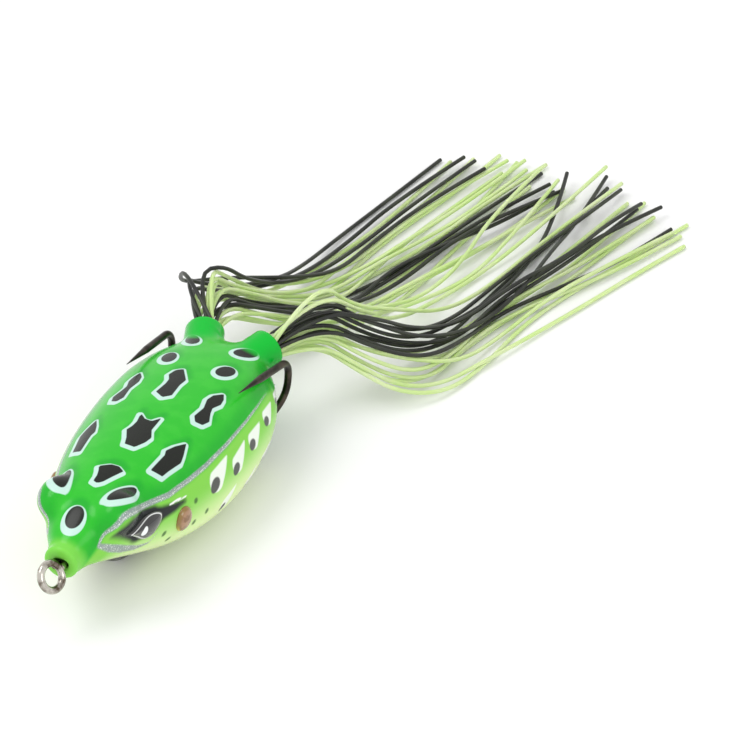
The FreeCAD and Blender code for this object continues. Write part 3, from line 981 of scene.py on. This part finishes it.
class Paint:
    """One material, its surface shader and the nodes that feed it."""

    def __init__(self, name, **fixed):
        self.material = bpy.data.materials.new(name)
        self.material.use_nodes = True
        self.tree = self.material.node_tree
        self.shader = self.tree.nodes["Principled BSDF"]
        for key, value in fixed.items():
            self.shader.inputs[key.replace("_", " ")].default_value = value

    def node(self, kind, inputs=None, **settings):
        made = self.tree.nodes.new(kind)
        for key, value in settings.items():
            setattr(made, key, value)
        for key, value in (inputs or {}).items():
            if isinstance(value, Sock):
                self.tree.links.new(value.socket, made.inputs[key])
            else:
                made.inputs[key].default_value = value
        return made

    def level(self, name):
        """A value stored on the mesh."""
        stored = self.node("ShaderNodeAttribute", attribute_name=name)
        return Sock(self.tree, stored.outputs["Fac"])

    def place(self):
        return Sock(self.tree, self.node("ShaderNodeTexCoord").outputs["Object"])

    def axis(self, name):
        split = self.node("ShaderNodeSeparateXYZ", {"Vector": self.place()})
        return Sock(self.tree, split.outputs[name])

    def noise(self, scale, detail=3.0):
        made = self.node(
            "ShaderNodeTexNoise", {"Vector": self.place(), "Scale": scale, "Detail": detail}
        )
        return Sock(self.tree, made.outputs["Fac"])

    def flakes(self, scale):
        """A random value for each small cell."""
        cells = self.node("ShaderNodeTexVoronoi", {"Vector": self.place(), "Scale": scale})
        tint = Sock(self.tree, cells.outputs["Color"])
        split = self.node("ShaderNodeSeparateColor", {"Color": tint})
        return Sock(self.tree, split.outputs["Red"])

    def mix(self, share, first, second):
        made = self.node("ShaderNodeMix", data_type="RGBA")
        for slot_in, value in ((0, share), (6, first), (7, second)):
            if isinstance(value, Sock):
                self.tree.links.new(value.socket, made.inputs[slot_in])
            elif slot_in == 0:
                made.inputs[0].default_value = value
            else:
                made.inputs[slot_in].default_value = (*value, 1.0)
        return Sock(self.tree, made.outputs[2])

    def drive(self, name, value):
        self.tree.links.new(value.socket, self.shader.inputs[name])

    def bump(self, height, strength, distance):
        made = self.node(
            "ShaderNodeBump", {"Height": height, "Strength": strength, "Distance": distance}
        )
        self.drive("Normal", Sock(self.tree, made.outputs["Normal"]))


BACK_GREEN = (0.022, 0.47, 0.022)
DEEP_GREEN = (0.0, 0.32, 0.02)
FLANK_GREEN = (0.22, 0.62, 0.07)
BELLY_CREAM = (0.72, 0.88, 0.42)
SPOT_BLACK = (0.010, 0.012, 0.009)
RIM_MINT = (0.52, 0.74, 0.66)
GLITTER_DARK = (0.30, 0.33, 0.35)
GLITTER_LIGHT = (0.80, 0.82, 0.80)
MOTTLE_GREEN = (0.045, 0.53, 0.035)
TEAR_WHITE = (0.86, 0.90, 0.84)
OVAL_GREY = (0.085, 0.090, 0.082)
DOT_GREEN = (0.05, 0.14, 0.03)
SMEAR_BLACK = (0.018, 0.022, 0.022)
# colour of the painted highlights behind the eye
PAINTED_HIGHLIGHT_WHITE = (0.9, 0.92, 0.9)
SOCKET_GREEN = (0.0, 0.46, 0.03)
LIP_GREEN = (0.10, 0.68, 0.08)
COLLAR_GREEN = (0.22, 0.66, 0.08)
HOLLOW_GREEN = (0.12, 0.45, 0.05)


def skin_paint():
    """Painted soft plastic: green back, yellow-green flank, spots, glitter line and tears."""
    paint = Paint("painted_green_skin", Roughness=0.26, Coat_Weight=0.08, Coat_Roughness=0.05)
    paint.shader.inputs["Specular IOR Level"].default_value = 0.2
    paint.shader.inputs["Subsurface Weight"].default_value = 0.08
    paint.shader.inputs["Subsurface Radius"].default_value = (0.4, 1.0, 0.3)
    paint.shader.inputs["Subsurface Scale"].default_value = 0.0012
    mottle = paint.noise(260.0)
    colour = paint.mix(mottle.ramp(0.4, 0.65) * 0.5, BACK_GREEN, MOTTLE_GREEN)
    front = paint.axis("Y").ramp(-0.026, -0.030)
    colour = paint.mix(front * 0.4, colour, FLANK_GREEN)
    side = paint.level("side")
    line = paint.level("flank")
    low = paint.level("low")
    colour = paint.mix(low.ramp(-0.3, 0.9), colour, FLANK_GREEN)
    colour = paint.mix(low.ramp(2.5, 9.5), colour, BELLY_CREAM)
    edge = (line.below(1.9, 2.0) * low.below(-0.2, 0.6)) * 0.45
    colour = paint.mix(edge, colour, DEEP_GREEN)
    rear = paint.axis("Y").ramp(0.019, 0.026)
    colour = paint.mix(rear * side.ramp(5.5, 9.0) * 0.7, colour, DEEP_GREEN)
    colour = paint.mix(paint.level("shade").below(0.0, 1.3) * 0.6, colour, DEEP_GREEN)
    rim = paint.level("rim").below(0.0, 0.16)
    colour = paint.mix(rim, colour, RIM_MINT)
    spot = paint.level("spot").below(0.0, 0.14)
    colour = paint.mix(spot, colour, SPOT_BLACK)
    tear = paint.level("tear").below(0.0, 0.35)
    colour = paint.mix(tear * 0.94, colour, TEAR_WHITE)
    colour = paint.mix(paint.level("oval").below(0.0, 0.3), colour, OVAL_GREY)
    colour = paint.mix(paint.level("dot").below(0.0, 0.35) * 0.9, colour, DOT_GREEN)
    colour = paint.mix(paint.level("smear").below(0.1, 0.9), colour, SMEAR_BLACK)
    flakes = paint.flakes(9000.0)
    stripe = paint.level("stripe").below(0.0, 0.3)
    lower_edge = line.below(0.22, 0.2) * low.ramp(0.02, 0.14)
    sparkle = (flakes.ramp(0.84, 0.90) + lower_edge * flakes.ramp(0.35, 0.5)).at_most(1.0)
    glitter = paint.mix(sparkle, GLITTER_DARK, GLITTER_LIGHT)
    colour = paint.mix(stripe * 0.92, colour, glitter)
    # painted highlight: white streaks behind the eye stand in for light mirrored by the clear coat
    painted_highlight = paint.level("painted_highlight").below(0.0, 0.2)
    colour = paint.mix(painted_highlight, colour, PAINTED_HIGHLIGHT_WHITE)
    socket = paint.level("socket").below(0.0, 0.5)
    colour = paint.mix(socket, colour, SOCKET_GREEN)
    lip = socket * paint.axis("Y").ramp(0.0318, 0.0334)
    colour = paint.mix(lip * 0.45, colour, LIP_GREEN)
    collar = paint.level("collar").below(0.0, 0.9)
    colour = paint.mix(collar * 0.8, colour, COLLAR_GREEN)
    hollow = paint.level("hollow").below(0.0, 0.1)
    colour = paint.mix(hollow, colour, HOLLOW_GREEN)
    paint.drive("Base Color", colour)
    metal = stripe * (0.35 + sparkle * 0.5)
    paint.drive("Metallic", metal.at_most(1.0))
    paint.drive("Roughness", 0.24 + stripe * 0.12 + hollow * 0.3)
    paint.bump(mottle + stripe * flakes * 0.6, 0.12, 0.0002)
    return paint.material


def eye_paint():
    """Clear-coated eye: charcoal almond with a painted grey reflection on its lower side, fine white line round it and
    a white pupil.
    """
    paint = Paint("glossy_eye", Roughness=0.12, Coat_Weight=1.0, Coat_Roughness=0.02)
    share = paint.level("share")
    grain = paint.noise(5200.0, 1.0)
    low = paint.level("lower")
    # painted reflection: the lower side of the eye is lightened to grey and broken by noise, as if the dome mirrored
    # the surroundings
    painted_reflection = (low.ramp(-0.6, 1.6) * grain.ramp(0.35, 0.7)) * 0.7
    colour = paint.mix(painted_reflection, (0.006, 0.006, 0.006), (0.22, 0.22, 0.22))
    line = share.ramp(0.80, 0.83) * share.below(0.89, 0.03)
    colour = paint.mix(line * 0.85, colour, (0.8, 0.82, 0.8))
    colour = paint.mix(share.ramp(0.9, 0.94), colour, (0.012, 0.014, 0.012))
    colour = paint.mix(paint.level("pupil").below(0.0, 0.12), colour, (0.86, 0.90, 0.88))
    paint.drive("Base Color", colour)
    return paint.material


def ear_paint():
    """Amber resin disc with a browner top and a painted yellow glow on its lower rim, where light shines through the
    resin.
    """
    paint = Paint("amber_resin", Roughness=0.14, Coat_Weight=1.0, Coat_Roughness=0.03)
    share = paint.level("share")
    grain = paint.noise(900.0)
    low = paint.level("lower")
    colour = paint.mix(grain.ramp(0.4, 0.62), (0.36, 0.19, 0.09), (0.20, 0.085, 0.02))
    colour = paint.mix(share.ramp(0.62, 0.9), colour, (0.24, 0.13, 0.008))
    # painted light: yellow on the lower rim stands in for light shining through the resin dome
    rim = share.ramp(0.8, 0.95) * low.ramp(-0.4, 1.4)
    colour = paint.mix(rim * 0.9, colour, (0.66, 0.60, 0.06))
    paint.drive("Base Color", colour)
    return paint.material


def hook_steel():
    """Black-bronze wire toward the points; a painted reflection lightens it to nickel-white at the line tie."""
    paint = Paint("hook_steel", Metallic=1.0, Roughness=0.2)
    # painted reflection: the same dark wire is lightened toward the line tie, with noise for the mirrored surroundings
    rear = paint.axis("Y").ramp(-0.029, -0.022)
    cloud = paint.noise(420.0)
    painted_tie_reflection = paint.mix(cloud.ramp(0.40, 0.60), (0.60, 0.57, 0.51), (0.10, 0.072, 0.045))
    dark = paint.mix(cloud.ramp(0.4, 0.7), (0.030, 0.025, 0.021), (0.085, 0.068, 0.052))
    paint.drive("Base Color", paint.mix(rear, painted_tie_reflection, dark))
    paint.drive("Roughness", 0.16 + rear * 0.14 + cloud * 0.08)
    return paint.material


def lead_paint():
    paint = Paint("keel_lead", Metallic=0.85, Roughness=0.5)
    cloud = paint.noise(700.0)
    colour = paint.mix(cloud.ramp(0.3, 0.7), (0.13, 0.13, 0.13), (0.25, 0.25, 0.245))
    paint.drive("Base Color", colour)
    paint.bump(cloud, 0.25, 0.0002)
    return paint.material


def black_silicone():
    paint = Paint("black_silicone", Roughness=0.38)
    paint.shader.inputs["Specular IOR Level"].default_value = 0.45
    sheen = paint.noise(160.0)
    colour = paint.mix(sheen.ramp(0.35, 0.7), (0.010, 0.011, 0.009), (0.030, 0.036, 0.022))
    paint.drive("Base Color", colour)
    return paint.material


def chartreuse_silicone():
    paint = Paint("chartreuse_silicone", Roughness=0.3)
    paint.shader.inputs["Subsurface Weight"].default_value = 0.3
    paint.shader.inputs["Subsurface Radius"].default_value = (1.0, 1.0, 0.5)
    paint.shader.inputs["Subsurface Scale"].default_value = 0.0008
    paint.shader.inputs["Transmission Weight"].default_value = 0.30
    cloud = paint.noise(120.0)
    colour = paint.mix(cloud.ramp(0.35, 0.7), (0.70, 0.92, 0.36), (0.82, 0.96, 0.54))
    paint.drive("Base Color", colour)
    return paint.material


def finish_node(name, material):
    """A node of the frame keeps its shape and gets this material."""
    node = frame["nodes"][name]
    node.data.materials.clear()
    node.data.materials.append(material)


# ---- strand tubes --------------------------------------------------------------------------
STRAND_INPUTS = (
    ("Path", "Geometry"),
    ("Diameter", "Float"),
    ("Rings", "Int"),
    ("Sides", "Int"),
    ("Finish", "Material"),
)


def strand_group():
    """Node group that runs a round section along a curve, with closed ends."""
    group = bpy.data.node_groups.new("Strand tube", "GeometryNodeTree")
    face = group.interface
    for name, kind in STRAND_INPUTS:
        face.new_socket(name, in_out="INPUT", socket_type="NodeSocket" + kind)
    face.new_socket("Tube", in_out="OUTPUT", socket_type="NodeSocketGeometry")
    nodes, link = group.nodes, group.links.new
    given = nodes.new("NodeGroupInput")
    result = nodes.new("NodeGroupOutput")
    resample = nodes.new("GeometryNodeResampleCurve")
    section = nodes.new("GeometryNodeCurvePrimitiveCircle")
    half = nodes.new("ShaderNodeMath")
    half.operation = "DIVIDE"
    half.inputs[1].default_value = 2.0
    sweep = nodes.new("GeometryNodeCurveToMesh")
    sweep.inputs["Fill Caps"].default_value = True
    smooth = nodes.new("GeometryNodeSetShadeSmooth")
    realize = nodes.new("GeometryNodeRealizeInstances")
    finish = nodes.new("GeometryNodeSetMaterial")
    for source, output, target, given_to in (
        (given, "Path", resample, "Curve"),
        (given, "Rings", resample, "Count"),
        (given, "Diameter", half, 0),
        (half, 0, section, "Radius"),
        (given, "Sides", section, "Resolution"),
        (resample, "Curve", sweep, "Curve"),
        (section, "Curve", sweep, "Profile Curve"),
        (sweep, "Mesh", smooth, "Geometry"),
        (smooth, "Geometry", realize, "Geometry"),
        (realize, "Geometry", finish, "Geometry"),
        (given, "Finish", finish, "Material"),
        (finish, "Geometry", result, "Tube"),
    ):
        link(source.outputs[output], target.inputs[given_to])
    return group


def strand_curve(name, route_mm):
    """The strand's centreline as a quadratic curve through its first and last points."""
    data = bpy.data.curves.new(name, "CURVE")
    data.dimensions = "3D"
    spline = data.splines.new("NURBS")
    spline.points.add(len(route_mm) - 1)
    for point, place in zip(spline.points, route_mm):
        point.co = (*(place * MM), 1.0)
    spline.order_u = 3
    spline.use_endpoint_u = True
    curve = bpy.data.objects.new(name + "_line", data)
    bpy.context.scene.collection.objects.link(curve)
    return curve


def strand_piece(name, route_mm, group, material, settings):
    """The strand's mesh and the points its centreline follows."""
    curve = strand_curve(name, route_mm)
    line = bpy.data.meshes.new_from_object(curve)
    path = [vertex.co.copy() for vertex in line.vertices]
    bpy.data.meshes.remove(line)
    tube = curve.modifiers.new("tube", "NODES")
    tube.node_group = group
    values = {
        "Diameter": settings.diameter,
        "Rings": STRAND_RINGS,
        "Sides": STRAND_SIDES,
        "Finish": material,
    }
    for item in group.interface.items_tree:
        if item.in_out == "INPUT" and item.name in values:
            tube[item.identifier] = values[item.name]
    bpy.context.view_layer.update()
    shown = curve.evaluated_get(bpy.context.evaluated_depsgraph_get())
    mesh = bpy.data.meshes.new_from_object(shown)
    mesh.name = name
    bpy.data.objects.remove(curve)
    piece = bpy.data.objects.new(name + "_tube", mesh)
    bpy.context.scene.collection.objects.link(piece)
    return piece, path


def path_length(path):
    return sum((b - a).length for a, b in zip(path, path[1:]))


def build_legs(settings):
    """Both legs: forty strands, laid one over another from the bottom row up."""
    group = strand_group()
    finishes = {BLACK: black_silicone(), CHARTREUSE: chartreuse_silicone()}
    laid = []
    legs = (("right", -1, RIGHT_TRESSES, RIGHT_FANS), ("left", 1, LEFT_TRESSES, LEFT_FANS))
    for side_name, side, tresses, fans in legs:
        counts = {BLACK: 0, CHARTREUSE: 0}
        direction = socket_direction(side)
        mouth = mirrored(SOCKET_MOUTH, side)
        for row, ((colour, guide), fan) in enumerate(zip(tresses, fans)):
            for column in range(STRANDS_PER_TRESS):
                counts[colour] += 1
                name = f"{side_name}_{colour}_strand_{counts[colour]}"
                route = strand_route(side, row, column, guide, fan)
                route = lay_over(route, laid)
                laid.append(spline_points(route))
                piece, path = strand_piece(name, route, group, finishes[colour], settings)
                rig.blend(
                    piece, "shell", f"{side_name}_leg",
                    start=(mouth - direction) * MM, end=(mouth + direction * BEND_SPAN) * MM,
                )
                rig.replaces(piece, name)
                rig.slot(piece, f"{colour}_silicone")
                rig.cord(
                    piece, exit=path[0], length=round(path_length(path), 4),
                    diameter=settings.diameter, far_end="bare", stiffness="limp",
                    lay="loose", path=path,
                )


# ---- camera, floor and lights: metres, except the floor and lens in millimetres -----------
CAMERA_TARGET = (0.01568, 0.05041, 0.0)
CAMERA_AZIMUTH = math.radians(23.975)
CAMERA_ELEVATION = math.radians(34.814)
CAMERA_DISTANCE = 0.7796
CAMERA_LENS = 232.0
CAMERA_SENSOR = 36.0
FLOOR_REACH = 3000.0
KEY_PLACE = (-0.25, -0.15, 0.55)
KEY_SIZE = 0.35
FILL_PLACE = (0.5, -0.25, 0.35)
FILL_SIZE = 0.3
LIGHTS_AIM = (0, 0.03, 0)


# ---- settings, shown in the panel ----------------------------------------------------------
class FrogStrandSettings(bpy.types.PropertyGroup):
    diameter: bpy.props.FloatProperty(
        name="Strand diameter", description="Thickness of one silicone strand",
        default=STRAND * MM, unit="LENGTH",
    )


class FrogShellSettings(bpy.types.PropertyGroup):
    pitch: bpy.props.FloatProperty(
        name="Mesh pitch", description="Spacing of the grid that the shell is built on",
        default=GRID_PITCH * MM, unit="LENGTH",
    )
    squeezed: bpy.props.FloatProperty(
        name="Squeezed height",
        description="Share of its height the shell keeps when the hook lifts",
        default=0.74, min=0.3, max=1.0, subtype="FACTOR",
    )


class FrogStageSettings(bpy.types.PropertyGroup):
    key_power: bpy.props.FloatProperty(
        name="Key light", description="Power of the large light above", default=1.2, unit="POWER"
    )
    fill_power: bpy.props.FloatProperty(
        name="Fill light", description="Power of the light opposite", default=0.5, unit="POWER"
    )
    sky: bpy.props.FloatProperty(
        name="Surroundings", description="Brightness of the white surroundings", default=0.95
    )


def squash_with_hook(piece, settings):
    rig.squash(
        piece, "hook_lift", axis=(0, 0, 1), anchor=(0, 0, SOCKET_MOUTH[2] * MM),
        keep=settings.squeezed,
    )


class FROG_OT_camera(bpy.types.Operator):
    """Add the camera"""

    bl_idname = "frog.camera"
    bl_label = "Camera"

    def execute(self, context):
        azimuth, elevation = CAMERA_AZIMUTH, CAMERA_ELEVATION
        back = Vector((
            math.sin(azimuth) * math.cos(elevation),
            -math.cos(azimuth) * math.cos(elevation),
            math.sin(elevation),
        ))
        data = bpy.data.cameras.new("camera")
        data.lens = CAMERA_LENS
        data.sensor_width = CAMERA_SENSOR
        data.clip_start = 0.01
        camera = bpy.data.objects.new("camera", data)
        camera.location = Vector(CAMERA_TARGET) + back * CAMERA_DISTANCE
        camera.rotation_euler = back.to_track_quat("Z", "Y").to_euler()
        context.scene.collection.objects.link(camera)
        context.scene.camera = camera
        return {"FINISHED"}


class FROG_OT_legs(bpy.types.Operator):
    """Make the strands of both legs"""

    bl_idname = "frog.legs"
    bl_label = "Strand legs"

    def execute(self, context):
        build_legs(context.scene.frog_strands)
        return {"FINISHED"}


class FROG_OT_shell(bpy.types.Operator):
    """Make the hollow painted shell"""

    bl_idname = "frog.shell"
    bl_label = "Shell"

    def execute(self, context):
        settings = context.scene.frog_shell
        points, faces = net_surface(shell_distance, SHELL_BOX, settings.pitch / MM)
        points = pulled_onto(shell_distance, points)
        points[:, 2] = np.maximum(points[:, 2], FLOOR_CLEARANCE)
        piece = mesh_object("painted_shell", points, faces, skin_paint())
        outward(piece)
        points = np.array([vertex.co for vertex in piece.data.vertices]) / MM
        levels = paint_levels(points)
        line = np.array(STRIPE)
        stripe_u = np.interp(points[:, 1], line[:, 1], line[:, 0])
        levels["low"] = levels["side"] - stripe_u
        add_levels(piece, levels)
        squash_with_hook(piece, settings)
        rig.ride(piece, "shell")
        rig.replaces(piece, "body_shell")
        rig.slot(piece, "green_skin")
        return {"FINISHED"}


def skin_ornament(name, node, outline, bulge, side, material, levels, settings, slot_name):
    points, faces, flat, share = dome_on_skin(outline, bulge, side)
    piece = mesh_object(name, points, faces, material)
    outward(piece)
    add_levels(piece, {"share": share, **levels(flat)})
    squash_with_hook(piece, settings)
    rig.ride(piece, "shell")
    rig.replaces(piece, node)
    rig.slot(piece, slot_name)


class FROG_OT_eyes(bpy.types.Operator):
    """Make the two glossy eyes"""

    bl_idname = "frog.eyes"
    bl_label = "Eyes"

    def execute(self, context):
        material = eye_paint()
        u, v, radius = PUPIL

        def levels(flat):
            return {
                "pupil": np.hypot(flat[:, 0] - u, flat[:, 1] - v) - radius,
                "lower": flat[:, 0] - np.interp(flat[:, 1], *EYE_SLANT),
            }

        for side_name, side in (("left", 1), ("right", -1)):
            skin_ornament(
                f"{side_name}_eye_dome", f"{side_name}_eye", EYE_OUTLINE, EYE_BULGE, side,
                material, levels, context.scene.frog_shell, "eye_gloss",
            )
        return {"FINISHED"}


class FROG_OT_ear_discs(bpy.types.Operator):
    """Make the two amber ear discs"""

    bl_idname = "frog.ear_discs"
    bl_label = "Ear discs"

    def execute(self, context):
        material = ear_paint()
        turns = np.linspace(0, 2 * math.pi, 16, endpoint=False)
        outline = [
            (EAR_CENTRE[0] + EAR_HALF[0] * math.cos(t), EAR_CENTRE[1] + EAR_HALF[1] * math.sin(t))
            for t in turns
        ]

        def levels(flat):
            return {"lower": flat[:, 0] - EAR_CENTRE[0]}

        for side_name, side in (("left", 1), ("right", -1)):
            skin_ornament(
                f"{side_name}_ear_dome", f"{side_name}_ear_disc", outline, EAR_BULGE, side,
                material, levels, context.scene.frog_shell, "amber_disc",
            )
        return {"FINISHED"}


class FROG_OT_metal(bpy.types.Operator):
    """Finish the hook, the keel weight and the hidden middle of the strands"""

    bl_idname = "frog.metal"
    bl_label = "Hook and weight"

    def execute(self, context):
        finish_node("double_hook", hook_steel())
        finish_node("keel_weight", lead_paint())
        finish_node("strand_loom", bpy.data.materials["black_silicone"])
        return {"FINISHED"}


def area_light(name, place, aim, size, power):
    data = bpy.data.lights.new(name, "AREA")
    data.shape = "DISK"
    data.size = size
    data.energy = power
    light = bpy.data.objects.new(name, data)
    light.location = place
    light.rotation_euler = (Vector(place) - Vector(aim)).to_track_quat("Z", "Y").to_euler()
    bpy.context.scene.collection.objects.link(light)
    return light


class FROG_OT_stage(bpy.types.Operator):
    """Add the floor, the surroundings and the lights"""

    bl_idname = "frog.stage"
    bl_label = "Stage"

    def execute(self, context):
        settings = context.scene.frog_stage
        paint = Paint("white_floor", Roughness=0.9)
        paint.shader.inputs["Base Color"].default_value = (0.9, 0.9, 0.9, 1)
        paint.shader.inputs["Specular IOR Level"].default_value = 0.0
        signs = ((-1, -1), (1, -1), (1, 1), (-1, 1))
        corners = [(x * FLOOR_REACH, y * FLOOR_REACH, 0) for x, y in signs]
        floor = mesh_object("floor", corners, [(0, 1, 2, 3)], paint.material)
        lights = [
            area_light("key", KEY_PLACE, LIGHTS_AIM, KEY_SIZE, settings.key_power),
            area_light("fill", FILL_PLACE, LIGHTS_AIM, FILL_SIZE, settings.fill_power),
        ]
        world = bpy.data.worlds.new("surroundings")
        world.use_nodes = True
        backdrop = world.node_tree.nodes["Background"]
        backdrop.inputs["Color"].default_value = (1, 1, 1, 1)
        backdrop.inputs["Strength"].default_value = settings.sky
        context.scene.world = world
        context.scene.view_settings.view_transform = "Standard"
        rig.stage(floor, *lights)
        return {"FINISHED"}


STEPS = (
    FROG_OT_camera,
    FROG_OT_legs,
    FROG_OT_shell,
    FROG_OT_eyes,
    FROG_OT_ear_discs,
    FROG_OT_metal,
    FROG_OT_stage,
)


class FROG_PT_panel(bpy.types.Panel):
    bl_idname = "FROG_PT_panel"
    bl_label = "Topwater frog"
    bl_space_type = "VIEW_3D"
    bl_region_type = "UI"
    bl_category = "Frog"

    def draw(self, context):
        for step in STEPS:
            self.layout.operator(step.bl_idname)
        for name in GROUPS:
            group = getattr(context.scene, name)
            for key in group.bl_rna.properties.keys():
                if key not in ("rna_type", "name"):
                    self.layout.prop(group, key)


GROUPS = {
    "frog_strands": FrogStrandSettings,
    "frog_shell": FrogShellSettings,
    "frog_stage": FrogStageSettings,
}


def register():
    for kind in (*GROUPS.values(), *STEPS, FROG_PT_panel):
        bpy.utils.register_class(kind)
    for name, kind in GROUPS.items():
        setattr(bpy.types.Scene, name, bpy.props.PointerProperty(type=kind))


def unregister():
    for name in GROUPS:
        delattr(bpy.types.Scene, name)
    for kind in (FROG_PT_panel, *reversed(STEPS), *GROUPS.values()):
        bpy.utils.unregister_class(kind)


def plain(corners):
    """Two corners as lists that json can write."""
    return [[float(value) for value in corner] for corner in corners]


def main():
    register()
    for step in STEPS:
        category, name = step.bl_idname.split(".")
        if getattr(getattr(bpy.ops, category), name)() != {"FINISHED"}:
            raise RuntimeError(f"{step.bl_idname} didn't finish")
    sizes = {"cad": plain(CAD_BOUNDS), "shown": plain(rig.bounds())}
    with open(SIZE_FILE, "w") as file:
        json.dump(sizes, file)


if __name__ == "__main__":
    main()
